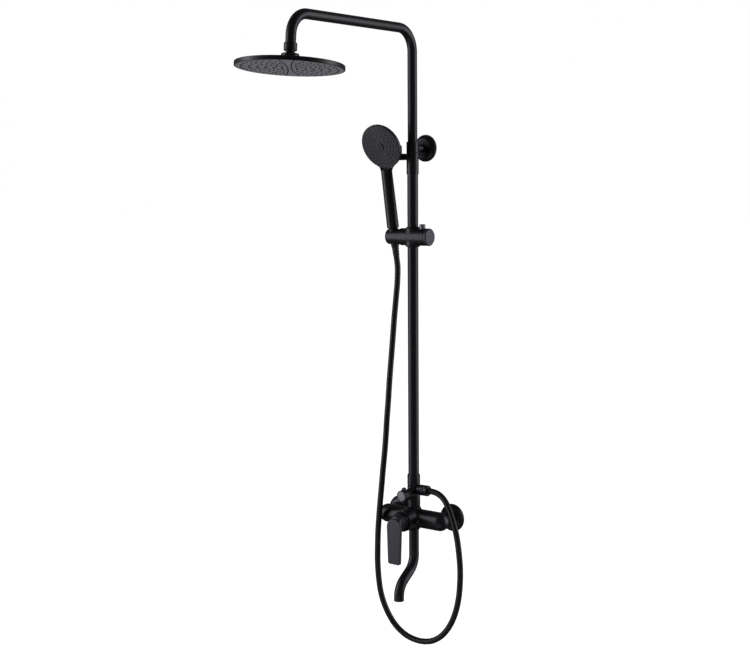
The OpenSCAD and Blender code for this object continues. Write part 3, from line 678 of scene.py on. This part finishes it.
SPOUT_BEND, SPOUT_ANGLE, SPOUT_DROP, SPOUT_RUN, SPOUT_TIP = 45, math.radians(55), 89, 26.4, 9
line = [Vector((0, 0, -27.3)), Vector((0, 0, -SPOUT_DROP))]
bend, head, side = arc(line[-1], (0, 0, -1), (0, -1, 0), SPOUT_BEND, SPOUT_ANGLE)
line += bend + [bend[-1] + head * SPOUT_RUN]
bend, head, _ = arc(line[-1], head, -side, SPOUT_BEND, SPOUT_ANGLE)
line += bend + [bend[-1] + head * SPOUT_TIP]
tail = lathe([(7, -28, 0), (7, -19.4, 0.3), (10, -19.4, 0.3), (10, -21.9, 0.1), (8.65, -22.0, 0.1),
              (8.65, -24.5, 0.1), (10, -24.6, 0.1), (10, -28, 0)], 64, closed=True)
spout = joined(pipe(line, 11.75, 9.75, 72), tail)
piece("spout_visual", spout, RISER, "spout", "matte_black", ["spout"])


# ---- tee and diverter ----

low, high = reach("tee_body", RISER)
TEE_LOW = low[2]


def tee_field(p):
    body = bar(p, 2, TEE_R, TEE_BOTTOM, TEE_TOP, 0.6)
    body = plus(body, bar(p, 2, 12, TEE_LOW, 40), 0.3)
    body = plus(body, bar(p, 2, 13, 60, SPIGOT_TOP), 0.3)
    boss = bar(p - np.array([0, 0, DIVERTER_Z]), 1, 12.5, -24, 0, 0.5)
    body = plus(body, boss, 3)
    q = p - np.array([0, 0, OUTLET_Z])
    body = plus(body, bar(q, 0, 6.9, 0, 20), 0.3)
    body = plus(body, bar(q, 0, 11.9, TEE_R + 0.3, 20.5, 0.6), 0.3)
    thread = 10.2 + 0.25 * np.cos(2 * np.pi * q[:, 0] / 1.8)
    nipple = np.maximum(np.hypot(q[:, 1], q[:, 2]) - thread, np.abs(q[:, 0] - 26) - 7)
    return np.minimum(body, nipple)


def tee_open(p):
    body = tee_field(p)
    body = minus(body, bar(p, 2, 7, 10, 90))
    body = minus(body, bar(p - np.array([0, 0, DIVERTER_Z]), 1, 9, -30, 9))
    return minus(body, bar(p - np.array([0, 0, OUTLET_Z]), 0, 8.5, 18, 40))


tee = solid(tee_open, (-TEE_R, -24, TEE_LOW), (33, TEE_R, SPIGOT_TOP), 0.75)
piece("tee_body_visual", tee, RISER, "column", "matte_black", ["tee_body"])

gland = nut_outline(4.3, 11.5, 24.1, 32, 0.9)
piece("diverter_gland_visual", lathe(gland, CAST, True), DIVERTER, "column", "matte_black",
      ["diverter_gland"])


def knob_field(p):
    body = bar(p, 1, 13.5, -49, -35, 0.6)
    u = np.hypot(p[:, 0], np.maximum(p[:, 2] - 13, 0)) - 6
    tab = np.maximum(np.maximum(u, -p[:, 2]), np.abs(p[:, 1] + 38.5) - 2.5)
    body = plus(body, tab, 1.2)
    body = minus(body, bar(p, 1, 11.15, -52, -48), 0.2)
    return minus(body, bar(p, 1, 4.1, -47, -30), 0.2)


knob = solid(knob_field, (-14, -49, -14), (14, -35, 19), 0.5)
knob_place = RISER @ Matrix.Translation((0, 0, DIVERTER_Z))
piece("diverter_knob_visual", knob, knob_place, "diverter", "matte_black", ["diverter_knob"])
face = [(0, 48.05, 0), (11, 48.05, 0.2), (11, 49.4, 0.35), (9.8, 50, 0.4), (6.4, 50, 0.2),
        (6.0, 49.8, 0.2), (5.6, 50, 0.2), (0, 50, 0)]
piece("diverter_face_visual", lathe(face, CAST), DIVERTER, "diverter", "satin_grey", ["diverter_face"])


# ---- riser, lock and bracket ----

riser_nut = [(12.6, 75.1, 0.2), (14.2, 75.1, 0.3), (TEE_R, 78, 1), (TEE_R, 101, 1), (14, 103, 0.6),
             (12.6, 103, 0.2)]
piece("riser_nut_visual", lathe(riser_nut, CAST, True), RISER, "column", "matte_black", ["riser_nut"])
riser_line = [(0, 0, 85), (0, 0, 400), (0, 0, RISER_TOP)]
piece("riser_pipe_visual", pipe(riser_line, RISER_R, 11.3, CAST), RISER, "column",
      "matte_black", ["riser_pipe"])
LOCK_Z = LOCK.translation.z / MM


def sleeve_field(p):
    body = bar(p, 2, COLLAR_R, 801, SLEEVE_TOP, 0.7)
    stub = bar(p - np.array([0, 0, LOCK_Z]), 0, 7.5, -33.2, 0, 0.5)
    body = plus(body, stub, 1.5)
    body = plus(body, bar(p, 2, 12.3, 840, SPIGOT_END, 0.2), 0.2)
    body = minus(body, bar(p, 2, RISER_R + 0.1, 790, RISER_TOP + 0.1), 0.2)
    body = minus(body, bar(p, 2, ARM_R + 0.05, 820, 870), 0.2)
    return minus(body, bar(p - np.array([0, 0, LOCK_Z]), 0, 4.1, -40, -9), 0.2)


lock = solid(sleeve_field, (-34, -COLLAR_R, 801), (COLLAR_R, COLLAR_R, SPIGOT_END), 0.6)
piece("lock_sleeve_visual", lock, RISER, "column", "matte_black", ["lock_sleeve"])


def tab_field(p):
    q = p - np.array([0, 0, LOCK_Z])
    body = bar(q, 0, 7.5, -38, -33.5, 0.6)
    tab = np.hypot(q[:, 1], np.maximum(q[:, 2] - 22.5, 0)) - 4.5
    tab = np.maximum(np.maximum(tab, -q[:, 2]), np.abs(q[:, 0] + 35.75) - 2.25)
    body = plus(body, tab, 1.0)
    return minus(body, bar(q, 0, 4.1, -37.1, -30), 0.2)


tab = solid(tab_field, (-38, -8, LOCK_Z - 8), (-33.5, 8, LOCK_Z + 27), 0.4)
piece("lock_lever_visual", tab, RISER, "lock_lever", "matte_black", ["lock_lever"])


def ring_field(p):
    body = cone(p, COLLAR_R, COLLAR_R, SLEEVE_TOP + 0.1, RING_TOP, 0.8)
    body = plus(body, bar(p - np.array([0, 0, BRACKET_Z]), 1, 9.5, 0, 18, 0.5), 3)
    body = minus(body, bar(p, 2, 12.35, 840, SPIGOT_END + 0.1), 0.2)
    body = minus(body, bar(p, 2, ARM_R + 0.3, 855, 880), 0.2)
    return minus(body, bar(p - np.array([0, 0, BRACKET_Z]), 1, 6.05, 13.2, 22), 0.2)


ring = solid(ring_field, (-COLLAR_R, -COLLAR_R, SLEEVE_TOP), (COLLAR_R, 18, RING_TOP), 0.55)
piece("bracket_ring_visual", ring, RISER, "column", "matte_black", ["bracket_ring"])
low, high = reach("bracket_rose", RISER)
bracket = (riser.x, 0, (low[2] + high[2]) / 2 * MM)
rose_piece("bracket_rose_visual", "bracket_rose", [bracket], 31, 12, 8.8)


# ---- overhead pipe and rain head ----

DROP_ANGLE, ARM_BEND, ARM_RUN, DROP_RUN = math.radians(85.5), 50, 316, 26.3
line = [Vector((0, 0, z)) for z in (560, 800, 1077)]
bend, head, side = arc(line[-1], (0, 0, 1), (0, -1, 0), ARM_BEND, math.pi / 2, 40)
line += bend + [bend[-1] + head * ARM_RUN / 2, bend[-1] + head * ARM_RUN]
bend, head, side = arc(line[-1], head, (0, 0, -1), ARM_BEND, DROP_ANGLE, 40)
line += bend + [bend[-1] + head * DROP_RUN]
piece("overhead_pipe_visual", pipe(line, ARM_R, ARM_R - 1.2, CAST), RISER, "overhead", "matte_black",
      ["overhead_pipe"])

curve = [(BALL_R * math.sin(a), BALL_S - BALL_R * math.cos(a), 0) for a in np.linspace(0.75, 2.6, 24)]
ball_nut = [(11.05, 16.3, 0.2), (13, 16.3, 0.4), (13.75, 17.3, 0.6), (13.75, 32, 0.8),
            (10, 32.2, 0.3), (10, 34.5, 0.3), (7.05, 36, 0.4)]
ball_nut += curve + [(5, curve[-1][1], 0), (5, 26.4, 0), (11.05, 26.4, 0)]
piece("ball_nut_visual", lathe(ball_nut, CAST, True), AT_DROP, "overhead", "matte_black", ["ball_nut"])
socket = [(math.sqrt(LINER_R ** 2 - (h - BALL_S) ** 2), h, 0)
          for h in np.linspace(SEAT_START, CAP_START, 12)]
ball_cap = [(17.5, CAP_START, 0.8), (18.5, 39.2, 0.8), (18.5, 52.6, 0.3), (16.1, 52.6, 0.2),
            (16.1, SEAT_START, 0)]
piece("ball_cap_visual", lathe(ball_cap + socket, CAST, True), AT_DROP, "rain_head", "matte_black", ["ball_cap"])

low, high = reach("rain_shell", AT_DROP)
RAIN_R = high[0]
RIM, START = 58.8, 53.0
crown_r = (RAIN_R ** 2 + (RIM - START) ** 2) / (2 * (RIM - START))
crown = [(r, START + crown_r - math.sqrt(crown_r ** 2 - r ** 2), 0)
         for r in np.linspace(16, RAIN_R - 1.2, 24)]
shell = [(13.2, 46.8, 0.2), (16, 46.8, 0.3), (16, crown[0][1], 1.5)] + crown[1:]
shell += [(RAIN_R, RIM + 0.9, 1.0), (RAIN_R, FACE_S, 1.2), (RAIN_R - 2.9, FACE_S, 0.2),
          (RAIN_R - 2.9, FACE_S - 1.5, 0), (RAIN_R - 5, FACE_S - 1.5, 0), (RAIN_R - 5, RIM + 2.2, 1)]
shell += [(r, h + 2, 0) for r, h, _ in crown[-4::-4]]
shell += [(6, 60.9, 0), (6, 57.4, 0), (13.2, 57.4, 0)]
piece("rain_shell_visual", lathe(shell, 192, True), AT_DROP, "rain_head", "matte_black",
      ["rain_shell"])


# ---- slider and holder ----

low, high = reach("slider_body", SLIDER)
BODY_LEFT, BODY_RIGHT = low[0], high[0]
BUTTON_X = 27


def slider_field(p):
    body = bar(p, 0, SLIDER_R, BODY_LEFT, BODY_RIGHT, 0.7)
    r = np.interp(np.abs(p[:, 2]), [20, 23], [17, 14.6])
    neck = np.maximum(np.hypot(p[:, 0], p[:, 1]) - r, np.abs(p[:, 2]) - 23)
    body = plus(body, neck, 2)
    body = minus(body, bar(p, 2, 13.3, -30, 30), 0.4)
    body = minus(body, bar(p, 0, NECK_R + 0.1, -40, -19), 0.3)
    body = minus(body, bar(p, 0, 4.15, 12, 36.5), 0.2)
    body = minus(body, bar(p, 0, 6, 36.3, 50), 0.2)
    return minus(body, bar(p - np.array([BUTTON_X, 0, 0]), 2, 7.1, 5.5, 30), 0.3)


slider = solid(slider_field, (BODY_LEFT, -SLIDER_R, -23), (BODY_RIGHT, SLIDER_R, 23), 0.75)
piece("slider_body_visual", slider, SLIDER, "slider", "matte_black", ["slider_body"])

low, high = reach("slider_end_cap", SLIDER_X)


def knurled(angle, r, h):
    """Sixty fine grooves round the cap's rim."""
    inside = 42.6 < h < 46.6
    return r - 0.3 * (0.5 + 0.5 * math.cos(60 * angle)) if inside and r > 19.5 else r


cap = [(0, 42.1, 0), (19.4, 42.1, 0), (SLIDER_R, 42.4, 0)]
cap += [(SLIDER_R, h, 0) for h in (42.7, 43.6, 45.4, 46.5)]
cap += [(SLIDER_R, 47, 0.5), (18, high[2], 0.9), (12, high[2], 0.3), (11.6, high[2] - 0.25, 0.2),
        (11.2, high[2], 0.3), (0, high[2], 0)]
piece("slider_end_cap_visual", lathe(cap, 240, False, knurled), SLIDER_X, "slider", "satin_grey",
      ["slider_end_cap"], MADE["end_cap"])

HAND_X = HAND.translation.x / MM - SLIDER.translation.x / MM
LEAN = math.radians(10.35)


def holder_field(p):
    """A drum with rounded ends on a short neck, with the cone socket for the hand shower."""
    drum = bar(p, 0, HOLDER_R, -75, BODY_LEFT - 0.5, 1.0)
    body = -plus(-drum, -ball(p, (-46, 0, 0), 28), 1.2)
    body = plus(body, bar(p, 0, NECK_R, BODY_LEFT - 3, -19.5, 0.3), 0.3)
    y = p[:, 1] * math.cos(LEAN) + p[:, 2] * math.sin(LEAN)
    z = p[:, 2] * math.cos(LEAN) - p[:, 1] * math.sin(LEAN)
    taper = np.interp(z, [-31.5, 27.5], [8.8, 11.9])
    return minus(body, np.hypot(p[:, 0] - HAND_X, y) - taper, 0.6)


holder = solid(holder_field, (-76, -18.5, -18.5), (-19, 18.5, 18.5), 0.65)
piece("hand_holder_visual", holder, SLIDER, "holder", "matte_black", ["hand_holder"])

cone_nut = [(6, -24, 0.3), (9.12, -24, 0.6), (9.6, -19, 0.3), (9.6, -18.4, 0.2), (10.05, -15, 0),
            (11.42, 20, 0.8), (9, 20, 0.3), (9, 9, 0), (6, 8, 0)]
piece("hand_cone_nut_visual", lathe(cone_nut, CAST, True), HAND, "hand_shower", "matte_black",
      ["hand_cone_nut"])


# ---- hand shower ----

FACE = HAND @ Matrix.Translation((0, -11.6, 211)) @ Matrix.Rotation(math.radians(103.2), 4, "X")
TO_FACE = np.array((FACE.inverted() @ HAND).to_3x3())
TO_FACE_AT = np.array((FACE.inverted() @ HAND).translation)
BACK_R, GRIP_TOP = 99.375, 182


def handle_field(p):
    """A tapering grip that flows into the back of a shallow dish with an open front."""
    grip = cone(p, 14, 12.5, 21, 200, 1.0)
    grip = plus(grip, bar(p, 2, 8.9, 9, 40, 0.3), 0.3)
    q = p @ TO_FACE.T + TO_FACE_AT
    back = ball(q, (0, 0, BACK_R - HAND_BACK), BACK_R)
    dish = -plus(-bar(q, 2, HAND_R, -HAND_BACK, 0, 1.0), -back, 2.0)
    grip = np.maximum(grip, p[:, 2] - GRIP_TOP)
    body = plus(grip, dish, 14)
    body = minus(body, bar(q, 2, HAND_R + 0.5, 0, 60), 0.3)
    body = minus(body, bar(q, 2, HAND_R - 3, -6.9, 5), 0.3)
    return minus(body, bar(p, 2, 6, 0, 150), 0.3)


handle = solid(handle_field, (-54, -32, 9), (54, 30, 266), 1.0)
piece("hand_handle_visual", handle, HAND, "hand_shower", "hand_black", ["hand_handle"])

face = [(HAND_R - 6.2, -6, 0), (HAND_R - 3.2, -6, 0), (HAND_R - 3.2, 0, 0.6)]
for r in (44, 36, 27.5, 19):
    face += [(r + 0.6, 0, 0.2), (r, -0.5, 0.3), (r - 0.6, 0, 0.2)]
face += [(0, 0, 0), (0, -2, 0), (HAND_R - 6.2, -2, 0)]
piece("hand_face_visual", lathe(face, 160), FACE, "hand_shower", "face_grey", ["hand_face"],
      MADE["hand_face"])
hub = [(0, 0.05, 0), (9, 0.05, 0), (9, 1, 0.4), (8, 1.8, 0.5), (0, 1.8, 0)]
piece("hand_hub_visual", lathe(hub, CAST), FACE, "hand_shower", "hand_black", ["hand_hub"])


# ---- studio ----

COOL_WHITE = (0.94, 0.91, 1.0)
WHITE = (1, 1, 1, 1)
DIM_SKY = 0.11  # what the backdrop gives to everything but the camera


def softbox(name, azimuth, height, distance, wide, tall, power, aim):
    lamp = bpy.data.lights.new(name, "AREA")
    lamp.shape = "RECTANGLE"
    lamp.size, lamp.size_y = wide, tall
    lamp.energy = power
    lamp.color = COOL_WHITE
    obj = bpy.data.objects.new(name, lamp)
    bpy.context.scene.collection.objects.link(obj)
    turn = math.radians(azimuth)
    obj.location = (distance * math.sin(turn), riser.y - distance * math.cos(turn), height)
    obj.rotation_euler = (Vector(aim) - obj.location).to_track_quat("-Z", "Y").to_euler()


middle = (riser.x, riser.y, 0.4)
softbox("left_softbox", -46, 0.7, 2.6, 1.0, 2.8, 50, middle)
softbox("right_softbox", 126, 0.7, 2.6, 1.2, 2.8, 50, middle)
softbox("low_softbox", 10, -0.95, 1.3, 2.0, 1.2, 6, (riser.x, riser.y - 0.3, 1.0))

world = bpy.data.worlds.new("studio")
world.use_nodes = True
bpy.context.scene.world = world
tree = world.node_tree
seen = tree.nodes.new("ShaderNodeLightPath")
white = tree.nodes.new("ShaderNodeBackground")
white.inputs["Strength"].default_value = 1.0
white.inputs["Color"].default_value = WHITE
dim = tree.nodes["Background"]
dim.inputs["Color"].default_value = WHITE
dim.inputs["Strength"].default_value = DIM_SKY
mix = tree.nodes.new("ShaderNodeMixShader")
tree.links.new(seen.outputs["Is Camera Ray"], mix.inputs["Fac"])
tree.links.new(dim.outputs["Background"], mix.inputs[1])
tree.links.new(white.outputs["Background"], mix.inputs[2])
tree.links.new(mix.outputs["Shader"], tree.nodes["World Output"].inputs["Surface"])
bpy.context.scene.view_settings.view_transform = "Standard"

floor_mesh = bpy.data.meshes.new("floor")
spread, depth = 60.0, -1.0
floor_mesh.from_pydata([(-spread, -spread, depth), (spread, -spread, depth),
                        (spread, spread, depth), (-spread, spread, depth)], [], [(0, 1, 2, 3)])
floor = bpy.data.objects.new("floor", floor_mesh)
bpy.context.scene.collection.objects.link(floor)
pale = bpy.data.materials.new("pale_floor")
pale.use_nodes = True
shader = pale.node_tree.nodes["Principled BSDF"]
shader.inputs["Base Color"].default_value = (0.6, 0.6, 0.6, 1)
shader.inputs["Roughness"].default_value = 0.9
shader.inputs["Emission Color"].default_value = WHITE
shader.inputs["Emission Strength"].default_value = 1.0
floor_mesh.materials.append(pale)
floor.visible_glossy = False
floor.visible_diffuse = False
